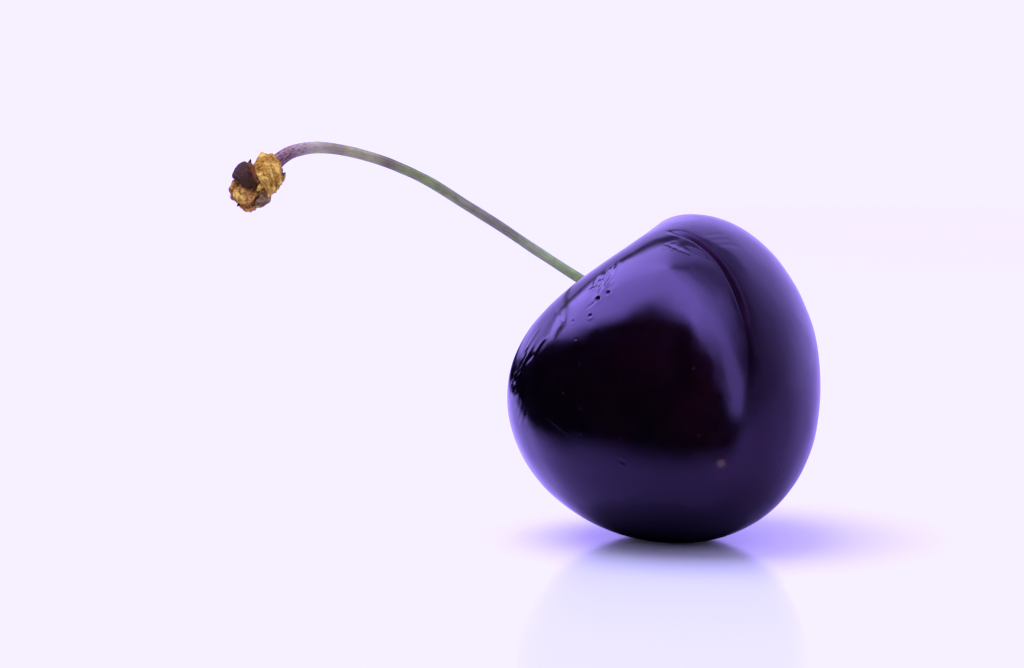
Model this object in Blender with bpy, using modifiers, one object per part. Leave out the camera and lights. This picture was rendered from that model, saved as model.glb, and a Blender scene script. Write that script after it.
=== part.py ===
"""A ripe sweet cherry as picked, lying on one side of its blossom end with its pedicel attached.

Metres, +Z up. The origin is the middle of the small flat spot that the fruit rests on. The pedicel
leaves the cavity behind the upper left shoulder, arches over to -X and ends in the swollen knob where
it broke from the tree, which still holds dry bud scales.
"""
import math

import bmesh
import bpy
import numpy as np
from mathutils import Vector

MM = 0.001

# The fruit, measured from its centre: cheek to cheek, suture to back, and along the stem axis.
CHEEK_RADIUS = 12.8 * MM
SUTURE_RADIUS = 13.3 * MM
BACK_RADIUS = 12.8 * MM
HALF_HEIGHT = 12.5 * MM
FULLNESS = 0.14             # how far the fruit's girth sits towards the stem end
CHEEK_SKEW = 0.025          # one cheek is a little fuller than the other
BLOSSOM_SHIFT = -0.7 * MM   # the blossom end leans to the back

# The shoulders round the stem cavity: a saddle on the suture, and one side higher than the other.
SHOULDER_LIFT = 1.45 * MM
SHOULDER_CHEEK_LEAN = -2.65 * MM
SHOULDER_SUTURE_LEAN = -0.7 * MM
SHOULDER_START = 0.5        # sine of the polar angle where the lift reaches its full height
CAVITY_DEPTH = 4.8 * MM
CAVITY_RADIUS = 4.2 * MM

RING_CROWDING = 1.3         # above 1, the rings of the mesh crowd together in the cavity

# The suture, a faint furrow that wanders from the cavity to the blossom end.
FURROW_DEPTH = 0.15 * MM
FURROW_WIDTH = 0.12         # radians of longitude
SUTURE_WANDER_ENDS = 0.15
SUTURE_WANDER_MIDDLE = 0.40
BLOSSOM_DIMPLE = 0.22 * MM
BLOSSOM_DIMPLE_WIDTH = 0.48

# How the fruit lies: the direction of its stem axis, and its turn about that axis.
STEM_AXIS_AZIMUTH = math.radians(126)
STEM_AXIS_ELEVATION = math.radians(39.2)
FRUIT_ROLL = math.radians(26.9)
FLAT_SINK = 0.25 * MM       # depth of the flat spot pressed where the fruit rests

# The pedicel. Its route is given from the cavity floor: +X right, +Y back, +Z up.
PEDICEL_RADIUS = 0.38 * MM
FOOT_SWELLING = 0.20 * MM
HEAD_SWELLING = 0.27 * MM
FOOT_SWELLING_LENGTH = 0.07     # as shares of the route's points
HEAD_SWELLING_LENGTH = 0.22
FOOT_RISE = 2.2 * MM
PEDICEL_ROUTE = (
    (-4.0, 2.8, 2.9),
    (-7.8, 4.0, 5.2),
    (-10.8, 4.1, 7.2),
    (-13.7, 3.4, 9.1),
    (-16.5, 2.2, 11.0),
    (-19.3, 0.5, 12.5),
    (-22.1, -1.4, 13.6),
    (-24.8, -3.4, 14.2),
    (-26.6, -5.0, 14.1),
    (-27.7, -6.0, 13.6),
)

# The knob at the far end, a barrel whose axis points back to the pedicel.
KNOB_AXIS = Vector((0.65, 0.37, 0.67)).normalized()
KNOB_HALF_LENGTH = 2.3 * MM
KNOB_RADIUS = 1.75 * MM
KNOB_DEPTH_SHARE = 0.95
KNOB_SQUARENESS = 3.0
KNOB_OUTSTAND = 0.3 * MM        # from the knob's end to the last point of the route
SPUR_TOP = 0.9 * MM
SCALE_THICKNESS = 0.25 * MM

# Clear space between neighbouring pieces, and square to the knob's axis under its scales.
GAP = 0.3 * MM
UNDER_SCALES = 0.38 * MM

RIPE_SKIN = (0.030, 0.003, 0.008)
GREEN_STEM = (0.16, 0.17, 0.10)
SPUR_BARK = (0.16, 0.055, 0.025)
DARK_SCALE = (0.035, 0.018, 0.020)
GOLD_SCALE = (0.55, 0.28, 0.06)
TAN_SCALE = (0.42, 0.21, 0.08)
GREY_SCALE = (0.16, 0.12, 0.09)

# Each bud scale is a patch of the barrel: where it sits round the knob and along it (mm from the
# knob's middle), how far it reaches, how much it slants, how deep its ruffles are, and its colour.
SCALES = {
    "dark_bud_scale": dict(
        turn=-78, reach=42, low=-1.1, high=0.7, slant=0, ruffle=0.0, colour=DARK_SCALE
    ),
    "golden_scale_front": dict(
        turn=6, reach=46, low=0.1, high=2.0, slant=-30, ruffle=0.12, colour=GOLD_SCALE
    ),
    "golden_scale_back": dict(
        turn=126, reach=45, low=0.0, high=1.9, slant=0, ruffle=0.10, colour=TAN_SCALE
    ),
    "lower_scale": dict(
        turn=84, reach=40, low=-1.8, high=-0.5, slant=0, ruffle=0.0, colour=GREY_SCALE
    ),
    "golden_bud": dict(
        turn=-38, reach=32, low=-2.0, high=-1.3, slant=0, ruffle=0.0, colour=GOLD_SCALE
    ),
}


def clear_scene():
    """Removes whatever objects the file opened with."""
    for old in list(bpy.data.objects):
        bpy.data.objects.remove(old, do_unlink=True)


def material(name, colour, roughness):
    """A plain Principled material."""
    made = bpy.data.materials.new(name)
    made.use_nodes = True
    shader = made.node_tree.nodes["Principled BSDF"]
    shader.inputs["Base Color"].default_value = (*colour, 1.0)
    shader.inputs["Roughness"].default_value = roughness
    shader.inputs["Metallic"].default_value = 0.0
    return made


def smooth_object(name, work, look, collection):
    """Turns a bmesh into a smooth-shaded object in the collection."""
    bmesh.ops.recalc_face_normals(work, faces=work.faces)
    mesh = bpy.data.meshes.new(name)
    work.to_mesh(mesh)
    work.free()
    mesh.shade_smooth()
    mesh.materials.append(look)
    made = bpy.data.objects.new(name, mesh)
    collection.objects.link(made)
    return made


def sphere_coordinates(work):
    """Polar angle and longitude of each vertex of a unit sphere, as arrays."""
    unit = np.array([vert.co for vert in work.verts])
    return np.arccos(np.clip(unit[:, 2], -1, 1)), np.arctan2(unit[:, 1], unit[:, 0])


def move_vertices(work, points):
    """Puts each vertex at its new point."""
    for vert, point in zip(work.verts, points):
        vert.co = point


def fruit_directions():
    """Unit vectors to the right cheek, the suture and the stem, for the way the fruit lies."""
    level = math.cos(STEM_AXIS_ELEVATION)
    stem = Vector((
        level * math.cos(STEM_AXIS_AZIMUTH),
        level * math.sin(STEM_AXIS_AZIMUTH),
        math.sin(STEM_AXIS_ELEVATION),
    ))
    upright = Vector((0, 0, 1))
    above = (upright - stem * stem.z).normalized()
    beside = above.cross(stem)
    suture = above * math.cos(FRUIT_ROLL) + beside * math.sin(FRUIT_ROLL)
    cheek = suture.cross(stem)
    return cheek, suture, stem


def fruit_points(polar, longitude):
    """The skin, about the fruit's centre. An ellipsoid is made full towards the stem, its shoulders
    are lifted, a bell-shaped cavity is taken out at the stem, and the furrow follows the suture."""
    sine, cosine = np.sin(polar), np.cos(polar)
    wander = SUTURE_WANDER_ENDS * cosine + SUTURE_WANDER_MIDDLE * sine
    turned = longitude + wander
    across, along = np.cos(turned), np.sin(turned)
    from_suture = np.angle(np.exp(1j * (longitude - math.pi / 2)))
    girth = sine * (1 + FULLNESS * cosine)
    girth = girth * (1 - FURROW_DEPTH / SUTURE_RADIUS * np.exp(-(from_suture / FURROW_WIDTH) ** 2))
    middle = (SUTURE_RADIUS + BACK_RADIUS) / 2
    uneven = (SUTURE_RADIUS - BACK_RADIUS) / 2
    cheek_way = CHEEK_RADIUS * (1 + CHEEK_SKEW * across) * girth * across
    suture_way = (middle + uneven * along) * girth * along
    from_axis = np.hypot(cheek_way, suture_way)
    lift = (
        SHOULDER_LIFT * np.cos(2 * turned)
        + SHOULDER_CHEEK_LEAN * across
        + SHOULDER_SUTURE_LEAN * along
    )
    shoulder = ((1 + cosine) / 2) ** 2 * np.minimum(1, (sine / SHOULDER_START) ** 2)
    cavity = CAVITY_DEPTH * np.exp(-(from_axis / CAVITY_RADIUS) ** 2) * (cosine > 0)
    dimple = BLOSSOM_DIMPLE * np.exp(-((math.pi - polar) / BLOSSOM_DIMPLE_WIDTH) ** 2)
    height = HALF_HEIGHT * cosine + lift * shoulder - cavity - dimple
    suture_way = suture_way + BLOSSOM_SHIFT * ((1 - cosine) / 2) ** 2
    local = np.stack([cheek_way, suture_way, height], axis=-1)
    return local @ np.array(fruit_directions())


def fruit_centre():
    """Centre of the fruit when its lowest point is pressed flat at the origin."""
    polar, longitude = np.meshgrid(
        np.linspace(0, math.pi, 181),
        np.linspace(-math.pi, math.pi, 361),
        indexing="ij",
    )
    skin = fruit_points(polar, longitude).reshape(-1, 3)
    lowest = Vector(skin[skin[:, 2].argmin()])
    return Vector((0, 0, -FLAT_SINK)) - lowest


def cavity_floor():
    """The middle of the stem cavity's floor."""
    return fruit_centre() + fruit_directions()[2] * (HALF_HEIGHT - CAVITY_DEPTH)


def build_fruit(collection):
    """The whole fruit, flesh and skin, as one solid with a flat spot underneath."""
    work = bmesh.new()
    bmesh.ops.create_uvsphere(work, u_segments=52, v_segments=30, radius=1)
    polar, longitude = sphere_coordinates(work)
    polar = math.pi * (polar / math.pi) ** RING_CROWDING
    move_vertices(work, fruit_points(polar, longitude) + np.array(fruit_centre()))
    everything = work.verts[:] + work.edges[:] + work.faces[:]
    cut = bmesh.ops.bisect_plane(
        work, geom=everything, plane_co=(0, 0, 0), plane_no=(0, 0, 1), clear_inner=True
    )
    rim = [item for item in cut["geom_cut"] if isinstance(item, bmesh.types.BMEdge)]
    bmesh.ops.contextual_create(work, geom=rim)
    smooth_object("fruit", work, material("ripe_skin", RIPE_SKIN, 0.2), collection)


def knob_centre():
    """Middle of the knob: past the route's end, along the knob's own axis."""
    route_end = cavity_floor() + Vector(PEDICEL_ROUTE[-1]) * MM
    return route_end - KNOB_AXIS * (KNOB_HALF_LENGTH + KNOB_OUTSTAND)


def pedicel_points():
    """Control points: up out of the cavity, along the route, and into the knob down to the spur.
    The foot stands clear of the cavity's floor where the floor curves up to meet its rim."""
    floor, stem_axis = cavity_floor(), fruit_directions()[2]
    floor_rise = CAVITY_DEPTH * (1 - math.exp(-(pedicel_radius(0) / CAVITY_RADIUS) ** 2))
    foot = [floor + stem_axis * (GAP + floor_rise), floor + stem_axis * FOOT_RISE]
    route = [floor + Vector(point) * MM for point in PEDICEL_ROUTE]
    head = knob_centre() + KNOB_AXIS * (SPUR_TOP + GAP)
    return foot + route + [head]


def pedicel_radius(share):
    """Thickest where it joins the fruit and the tree, and thin between."""
    foot = FOOT_SWELLING * math.exp(-share / FOOT_SWELLING_LENGTH)
    head = HEAD_SWELLING * math.exp(-(1 - share) / HEAD_SWELLING_LENGTH)
    return PEDICEL_RADIUS + foot + head


def build_pedicel(collection):
    """A tapering tube through the control points."""
    points = pedicel_points()
    curve = bpy.data.curves.new("pedicel", "CURVE")
    curve.dimensions = "3D"
    curve.bevel_depth = 1.0
    curve.bevel_resolution = 2
    curve.resolution_u = 4
    curve.use_fill_caps = True
    spline = curve.splines.new("BEZIER")
    spline.bezier_points.add(len(points) - 1)
    for index, (knot, point) in enumerate(zip(spline.bezier_points, points)):
        knot.co = point
        knot.radius = pedicel_radius(index / (len(points) - 1))
        knot.handle_left_type = "AUTO"
        knot.handle_right_type = "AUTO"
    curve.materials.append(material("green_stem", GREEN_STEM, 0.6))
    collection.objects.link(bpy.data.objects.new("pedicel", curve))


def knob_directions():
    """Unit vectors of the knob: to its right side and to its front, square to its axis."""
    front = Vector((0, -1, 0))
    side = KNOB_AXIS.cross(front).normalized()
    return side, side.cross(KNOB_AXIS)


def barrel(share):
    """Radius of the barrel at a share of its half length, from 1 at the middle to 0 at the ends."""
    return (1 - np.minimum(np.abs(share), 1) ** KNOB_SQUARENESS) ** (1 / KNOB_SQUARENESS)


def knob_points(turn, along, radius):
    """Points round the knob's axis: turn 0 faces the front, and along runs towards the pedicel."""
    side, front = knob_directions()
    round_way = np.sin(turn)[..., None] * np.array(side)
    round_way = round_way + KNOB_DEPTH_SHARE * np.cos(turn)[..., None] * np.array(front)
    axis_way = along[..., None] * np.array(KNOB_AXIS)
    return np.array(knob_centre()) + axis_way + radius[..., None] * round_way


def covered(turn, along):
    """1 under the bud scales and 0 in the open, with a soft edge just outside each scale."""
    most = np.zeros_like(turn)
    for scale in SCALES.values():
        middle = (scale["low"] + scale["high"]) / 2 * MM
        half = (scale["high"] - scale["low"]) / 2 * MM
        upward = (along - middle) / half
        centre = np.radians(scale["turn"] + scale["slant"] * np.clip(upward, -1, 1))
        aside = np.abs(np.angle(np.exp(1j * (turn - centre))))
        past_side = (aside - np.radians(scale["reach"])) * KNOB_RADIUS
        past_end = (np.abs(upward) - 1) * half
        past = np.maximum(past_side, past_end)
        most = np.maximum(most, np.clip(2 - past / GAP, 0, 1))
    return most


def build_spur(collection):
    """The woody stub inside the knob: full size in the open and sunk under the bud scales."""
    work = bmesh.new()
    bmesh.ops.create_uvsphere(work, u_segments=28, v_segments=18, radius=1)
    polar, turn = sphere_coordinates(work)
    share = np.cos(polar)
    along = (SPUR_TOP - KNOB_HALF_LENGTH) / 2 + share * (SPUR_TOP + KNOB_HALF_LENGTH) / 2
    radius = KNOB_RADIUS * np.minimum(barrel(share), barrel(along / KNOB_HALF_LENGTH))
    radius = np.maximum(radius - (SCALE_THICKNESS + UNDER_SCALES) * covered(turn, along), 0.2 * radius)
    move_vertices(work, knob_points(turn, along, radius))
    smooth_object("spur_base", work, material("spur_bark", SPUR_BARK, 0.85), collection)


def build_scale(name, turn, reach, low, high, slant, ruffle, colour, collection):
    """A dry scale: a patch of the barrel with rounded corners, ruffled lengthwise, made solid."""
    work = bmesh.new()
    bmesh.ops.create_grid(work, x_segments=8, y_segments=7, size=1)
    flat = np.array([vert.co for vert in work.verts])
    across, upward = flat[:, 0], flat[:, 1]
    narrowing = np.sqrt(1 - 0.45 * upward ** 2)
    angle = np.radians(turn + slant * upward + reach * across * narrowing)
    rounding = 1 - 0.2 * across ** 2
    along = ((low + high) / 2 + (high - low) / 2 * upward * rounding) * MM
    radius = KNOB_RADIUS * barrel(along / KNOB_HALF_LENGTH)
    radius = radius + ruffle * MM * (0.5 + 0.5 * np.sin(8 * across + 2 * upward))
    move_vertices(work, knob_points(angle, along, radius))
    made = smooth_object(name, work, material(name + "_look", colour, 0.6), collection)
    outward = made.data.polygons[0].center - knob_centre()
    if made.data.polygons[0].normal.dot(outward) < 0:
        made.data.flip_normals()
    wall = made.modifiers.new("thickness", "SOLIDIFY")
    wall.thickness = SCALE_THICKNESS
    wall.offset = -1.0


def main():
    """Builds every piece into one collection."""
    clear_scene()
    cherry = bpy.data.collections.new("cherry")
    bpy.context.scene.collection.children.link(cherry)
    build_fruit(cherry)
    build_pedicel(cherry)
    build_spur(cherry)
    for name, sizes in SCALES.items():
        build_scale(name, collection=cherry, **sizes)


main()
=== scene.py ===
"""A ripe sweet cherry as picked, with its arched pedicel and the knob of dry bud scales at its end."""
import itertools
import math

import bpy
import numpy as np
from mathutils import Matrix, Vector


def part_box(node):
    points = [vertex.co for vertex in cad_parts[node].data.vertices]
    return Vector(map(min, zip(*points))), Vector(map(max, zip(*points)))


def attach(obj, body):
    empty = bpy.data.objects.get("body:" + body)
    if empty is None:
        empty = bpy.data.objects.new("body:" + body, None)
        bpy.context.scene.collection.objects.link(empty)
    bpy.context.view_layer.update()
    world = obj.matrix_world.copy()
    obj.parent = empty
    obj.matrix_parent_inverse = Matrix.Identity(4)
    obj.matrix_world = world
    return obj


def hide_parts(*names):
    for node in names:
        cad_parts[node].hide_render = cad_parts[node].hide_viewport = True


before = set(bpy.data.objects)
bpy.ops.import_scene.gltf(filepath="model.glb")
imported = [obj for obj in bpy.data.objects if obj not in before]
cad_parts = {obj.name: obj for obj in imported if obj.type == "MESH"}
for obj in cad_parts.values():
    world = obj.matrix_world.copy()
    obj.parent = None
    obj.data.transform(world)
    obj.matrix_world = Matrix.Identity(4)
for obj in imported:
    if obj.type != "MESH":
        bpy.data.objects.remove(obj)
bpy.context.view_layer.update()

# ---------------------------------------------------------------------------------------------
# The fruit: one fleshy drupe, grown as a single piece and almost black when ripe. Its skin is thin
# and waxy, with a stem cavity between two shoulders, a suture down one side that ends in the tan
# scar of the style, and small puckers where the skin has begun to slacken near the shoulders.

MM = 0.001
CHEEK_RADIUS = 12.8 * MM
SUTURE_RADIUS = 13.3 * MM
BACK_RADIUS = 12.8 * MM
HALF_HEIGHT = 12.5 * MM
FULLNESS = 0.14
CHEEK_SKEW = 0.025
BLOSSOM_SHIFT = -0.7 * MM
SHOULDER_LIFT = 1.45 * MM
SHOULDER_CHEEK_LEAN = -2.65 * MM
SHOULDER_SUTURE_LEAN = -0.7 * MM
SHOULDER_START = 0.5
CAVITY_DEPTH = 4.8 * MM
CAVITY_RADIUS = 4.2 * MM
BLOSSOM_DIMPLE = 0.22 * MM
BLOSSOM_DIMPLE_WIDTH = 0.48
STEM_AXIS_AZIMUTH = math.radians(126)
STEM_AXIS_ELEVATION = math.radians(39.2)
FRUIT_ROLL = math.radians(26.9)

GROOVE_DEPTH = 0.34 * MM
GROOVE_WIDTH = 0.26 * MM
GROOVE_SHADE_NEAR_WIDTH = 0.46 * MM
GROOVE_SHADE_FAR_WIDTH = 0.78 * MM
SUTURE_START = (0.9, 1.2)
GROOVE_FADE, GROOVE_END = (1.7, 2.6), (1.60, 2.10)
GROOVE_SHADE_END = (2.1, 2.65)
SCAR_POLAR, SCAR_LONGITUDE = 152, 74.3
SCAR_RADIUS = 0.34 * MM
SCAR_HEIGHT = 0.05 * MM
BROAD_WAVE, BROAD_WAVE_LENGTH = 0.05 * MM, 5.5 * MM
SHORT_WAVE, SHORT_WAVE_LENGTH = 0.028 * MM, 2.1 * MM
FINE_WAVE, FINE_WAVE_LENGTH = 0.004 * MM, 0.8 * MM

SKIN_ROWS, SKIN_COLUMNS = 236, 400


def closed_surface(name, points, **masks):
    """A mesh over a grid of points. The columns run round and join up, the first and the last row
    are each one point, and the faces are turned so that the volume they enclose is positive. Each
    mask is a grid of the same size, kept as a vertex attribute."""
    rows, columns = points.shape[:2]

    def flatten(grid):
        return np.concatenate([grid[:1, 0], grid[1:-1].reshape(-1, *grid.shape[2:]), grid[-1:, 0]])

    ring = 1 + np.arange((rows - 2) * columns).reshape(rows - 2, columns)
    following = np.roll(ring, -1, axis=1)
    last = (rows - 2) * columns + 1
    quads = np.stack([ring[:-1], ring[1:], following[1:], following[:-1]], axis=-1).reshape(-1, 4)
    top = np.stack([np.zeros(columns, int), ring[0], following[0]], axis=-1)
    bottom = np.stack([np.full(columns, last), following[-1], ring[-1]], axis=-1)
    coords = flatten(points)
    a, b, c, d = (coords[quads[:, k]] for k in range(4))
    volume = np.sum(np.cross(a, b) * c) + np.sum(np.cross(a, c) * d)
    if volume < 0:
        quads, top, bottom = quads[:, ::-1], top[:, ::-1], bottom[:, ::-1]
    mesh = bpy.data.meshes.new(name)
    mesh.from_pydata(coords.tolist(), [], quads.tolist() + top.tolist() + bottom.tolist())
    mesh.shade_smooth()
    for mask, grid in masks.items():
        kept = mesh.attributes.new(mask, "FLOAT", "POINT")
        kept.data.foreach_set("value", flatten(grid).astype(np.float32))
    made = bpy.data.objects.new(name, mesh)
    bpy.context.scene.collection.objects.link(made)
    return made


def noise(points, cell, seed):
    """Smooth random values from -1 to 1: random numbers at the corners of a cubic lattice of the
    given cell, blended across each cell."""
    size = 16
    table = np.random.default_rng(seed).random((size, size, size))
    place = points / cell + 100
    low = np.floor(place).astype(int)
    part = place - low
    part = part * part * (3 - 2 * part)
    total = np.zeros(points.shape[:-1])
    for corner in itertools.product((0, 1), repeat=3):
        weight = np.prod(np.where(corner, part, 1 - part), axis=-1)
        index = (low + np.array(corner)) % size
        total += weight * table[index[..., 0], index[..., 1], index[..., 2]]
    return 2 * total - 1


def smooth_step(low, high, value):
    """0 below low, 1 above high, and an S-curve between."""
    share = np.clip((value - low) / (high - low), 0, 1)
    return share * share * (3 - 2 * share)


def fruit_directions():
    """Unit vectors to the left cheek, the suture and the stem, for the way the fruit lies."""
    level = math.cos(STEM_AXIS_ELEVATION)
    stem = Vector((
        level * math.cos(STEM_AXIS_AZIMUTH),
        level * math.sin(STEM_AXIS_AZIMUTH),
        math.sin(STEM_AXIS_ELEVATION),
    ))
    above = (Vector((0, 0, 1)) - stem * stem.z).normalized()
    beside = above.cross(stem)
    suture = above * math.cos(FRUIT_ROLL) + beside * math.sin(FRUIT_ROLL)
    return suture.cross(stem), suture, stem


FRUIT_AXES = np.array(fruit_directions())


def suture_longitude(polar):
    """Longitude of the suture: furthest to one side a little below the middle, bending back towards
    the stem, and curling round faster and faster towards the scar at the blossom end."""
    degrees = np.degrees(polar)
    towards_stem = 5 * (np.minimum(degrees - 100, 0) / 36) ** 2
    towards_scar = 13.2 * (np.clip(degrees - 100, 0, 60) / 45) ** 2
    curl = 20 * (np.clip(degrees - 128, 0, 32) / 24) ** 4
    return np.radians(114 - towards_stem - towards_scar - curl)


def crowded(start, end, count, *zones):
    """Values from start to end that lie closer together in each (focus, spread, density) zone, by
    the inverse of a running total of the density wanted at each place."""
    place = np.linspace(start, end, 4001)
    wanted = 1 + sum(d / (1 + (np.abs(place - focus) / spread) ** 8) for focus, spread, d in zones)
    total = np.concatenate([[0], np.cumsum((wanted[1:] + wanted[:-1]) / 2)])
    return np.interp(np.linspace(0, total[-1], count), total, place)


def skin_points(polar, longitude):
    """The plain skin about the fruit's centre: an ellipsoid made full towards the stem, with raised
    shoulders, a bell-shaped cavity at the stem and a shallow dimple at the blossom end."""
    sine, cosine = np.sin(polar), np.cos(polar)
    across, along = np.cos(longitude), np.sin(longitude)
    girth = sine * (1 + FULLNESS * cosine)
    middle, uneven = (SUTURE_RADIUS + BACK_RADIUS) / 2, (SUTURE_RADIUS - BACK_RADIUS) / 2
    cheek_way = CHEEK_RADIUS * (1 + CHEEK_SKEW * across) * girth * across
    suture_way = (middle + uneven * along) * girth * along
    from_axis = np.hypot(cheek_way, suture_way)
    lift = SHOULDER_LIFT * np.cos(2 * longitude)
    lift = lift + SHOULDER_CHEEK_LEAN * across + SHOULDER_SUTURE_LEAN * along
    shoulder = ((1 + cosine) / 2) ** 2 * np.minimum(1, (sine / SHOULDER_START) ** 2)
    cavity = CAVITY_DEPTH * np.exp(-(from_axis / CAVITY_RADIUS) ** 2) * (cosine > 0)
    dimple = BLOSSOM_DIMPLE * np.exp(-((math.pi - polar) / BLOSSOM_DIMPLE_WIDTH) ** 2)
    height = HALF_HEIGHT * cosine + lift * shoulder - cavity - dimple
    suture_way = suture_way + BLOSSOM_SHIFT * ((1 - cosine) / 2) ** 2
    return np.stack([cheek_way, suture_way, height], axis=-1) @ FRUIT_AXES


def skin_spot(polar_degrees, longitude_degrees):
    """One point of the plain skin about the fruit's centre."""
    return skin_points(np.radians(polar_degrees), np.radians(longitude_degrees))


polar, longitude = np.meshgrid(
    crowded(0, math.pi, SKIN_ROWS, (math.radians(82), math.radians(34), 1.6)),
    crowded(
        -math.pi, math.pi, SKIN_COLUMNS + 1,
        (math.radians(66), math.radians(56), 2.4), (math.radians(110), math.radians(8), 5.0),
    )[:-1],
    indexing="ij",
)
skin = skin_points(polar, longitude)
fruit_low, fruit_high = (np.array(corner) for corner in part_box("fruit"))
fruit_centre = np.array([
    (fruit_low[0] + fruit_high[0] - skin[..., 0].min() - skin[..., 0].max()) / 2,
    (fruit_low[1] + fruit_high[1] - skin[..., 1].min() - skin[..., 1].max()) / 2,
    fruit_high[2] - skin[..., 2].max(),
])

radius = np.linalg.norm(skin, axis=-1)
aside = np.angle(np.exp(1j * (longitude - suture_longitude(polar)))) * radius * np.sin(polar)
groove_path = smooth_step(*SUTURE_START, polar) * (1 - smooth_step(*GROOVE_FADE, polar))
uneven_width = 1 + 0.25 * noise(skin, 1.6 * MM, 5)
groove = np.exp(-np.abs(aside / (GROOVE_WIDTH * uneven_width)) ** 1.7) * groove_path
groove = groove * (1 - smooth_step(*GROOVE_END, polar))
# Painted shade for the groove: a band along the suture, wider on the far side, that the skin paints
# dark and mirror-less in place of the shade inside the groove.
groove_shade_width = np.where(aside < 0, GROOVE_SHADE_NEAR_WIDTH, GROOVE_SHADE_FAR_WIDTH) * uneven_width
groove_shade_path = smooth_step(*SUTURE_START, polar) * (1 - smooth_step(*GROOVE_SHADE_END, polar))
stained = np.exp(-np.abs(aside / groove_shade_width) ** 2.4) * groove_shade_path


def about(polar_degrees, longitude_degrees, heading_degrees=0):
    """How far the skin lies from one spot of it, along a heading and square to it. Heading 0 runs
    towards the stem and 90 towards greater longitudes."""
    spot = skin_spot(polar_degrees, longitude_degrees)
    stemward = skin_spot(polar_degrees - 1, longitude_degrees) - spot
    stemward /= np.linalg.norm(stemward)
    onward = skin_spot(polar_degrees, longitude_degrees + 1) - spot
    onward -= stemward * (onward @ stemward)
    onward /= np.linalg.norm(onward)
    heading = math.radians(heading_degrees)
    ahead = math.cos(heading) * stemward + math.sin(heading) * onward
    square = math.cos(heading) * onward - math.sin(heading) * stemward
    away = skin - spot
    near = np.exp(-(np.linalg.norm(away, axis=-1) / (6 * MM)) ** 6)
    return away @ ahead, away @ square, near


def pit(polar_degrees, longitude_degrees, size):
    """A round pit, 1 deep at its centre, with a low raised ring about it."""
    ahead, square, near = about(polar_degrees, longitude_degrees)
    distance = np.hypot(ahead, square) / size
    return near * (0.35 * np.exp(-((distance - 1.5) / 0.6) ** 2) - np.exp(-distance ** 2))


def ridges(polar_degrees, longitude_degrees, heading, count, spacing, length, width, seed=0):
    """Short wavy ridges side by side: each is a bell across and a softer bell along, and their
    middles are staggered."""
    ahead, square, near = about(polar_degrees, longitude_degrees, heading)
    wobble = 0.6 * width * np.sin(ahead / (0.35 * length) + seed)
    total = np.zeros_like(ahead)
    for k in range(count):
        stagger = 0.35 * length * math.sin(2.4 * k + seed)
        middle = (k - (count - 1) / 2) * spacing * (1 + 0.15 * math.sin(3.1 * k + seed))
        across = np.exp(-((square - middle - wobble) / width) ** 2)
        total += across * np.exp(-((ahead - stagger) / (0.5 * length)) ** 4)
    return near * total


def patch(polar_degrees, longitude_degrees, size):
    """A round patch of the given radius with a soft edge: 1 inside and 0 outside."""
    ahead, square, near = about(polar_degrees, longitude_degrees)
    return near * np.exp(-(np.hypot(ahead, square) / size) ** 4)


marks = MM * (
    # Three pits and a fainter one below the near shoulder.
    0.12 * pit(74.2, 71.4, 0.19 * MM) + 0.14 * pit(73.4, 67.2, 0.20 * MM)
    + 0.07 * pit(78.2, 62.0, 0.15 * MM) + 0.03 * pit(74.2, 55.7, 0.14 * MM)
    - 0.05 * ridges(73.8, 64.4, 84, 1, 0, 1.0 * MM, 0.08 * MM)
    # The cluster of fine wrinkles above them.
    + 0.07 * ridges(66, 71.5, 30, 6, 0.27 * MM, 0.9 * MM, 0.08 * MM, 1)
    + 0.07 * ridges(69, 70, 38, 5, 0.24 * MM, 0.6 * MM, 0.08 * MM, 3)
    + 0.05 * ridges(62, 77, 30, 5, 0.25 * MM, 1.0 * MM, 0.08 * MM, 4)
    + 0.06 * patch(67, 71, 1.1 * MM) * noise(skin, 0.42 * MM, 12)
    # A soft fold down from the crest of the shoulder.
    - 0.02 * ridges(67.5, 51.6, -8, 1, 0, 3.0 * MM, 0.20 * MM, 2)
    # The puckers that run round the far side of the shoulder.
    + 0.05 * ridges(66.5, 36, 86, 3, 0.8 * MM, 2.0 * MM, 0.20 * MM, 3)
    - 0.04 * ridges(68.5, 31, 92, 2, 0.6 * MM, 1.5 * MM, 0.16 * MM, 5)
    + 0.04 * ridges(71.0, 20, 96, 4, 0.55 * MM, 1.7 * MM, 0.15 * MM, 6)
    + 0.03 * ridges(82.0, 16, 90, 4, 0.6 * MM, 1.6 * MM, 0.15 * MM, 7)
    + 0.03 * patch(72, 24, 2.2 * MM) * noise(skin, 0.7 * MM, 13)
    # Creases beside the saddle, where the suture comes over.
    - 0.05 * ridges(74.2, 104.6, 150, 2, 0.6 * MM, 2.2 * MM, 0.14 * MM, 8)
    - 0.02 * ridges(68, 100, 100, 3, 0.5 * MM, 1.0 * MM, 0.14 * MM, 9)
    - 0.02 * ridges(73, 121, 100, 3, 0.8 * MM, 1.8 * MM, 0.26 * MM, 10)
    # A thin scratch on the side, and single specks lower down.
    + 0.025 * ridges(102, 26.4, 176, 1, 0, 2.4 * MM, 0.08 * MM, 11)
    + 0.05 * pit(126.5, 32.5, 0.2 * MM) + 0.05 * pit(159.2, 156.2, 0.15 * MM)
)
scar_ahead, scar_square, scar_near = about(SCAR_POLAR, SCAR_LONGITUDE)
scar = scar_near * np.exp(-(np.hypot(scar_ahead, scar_square) / SCAR_RADIUS) ** 3)
waves = BROAD_WAVE * noise(skin, BROAD_WAVE_LENGTH, 1) + SHORT_WAVE * noise(skin, SHORT_WAVE_LENGTH, 2)
waves = waves + FINE_WAVE * noise(skin, FINE_WAVE_LENGTH, 6)
rise = waves + marks - GROOVE_DEPTH * groove + SCAR_HEIGHT * scar
fruit_points = fruit_centre + skin * (1 + rise / radius)[..., None]
fruit_points[..., 2] = np.maximum(fruit_points[..., 2], 0.0)
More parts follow.
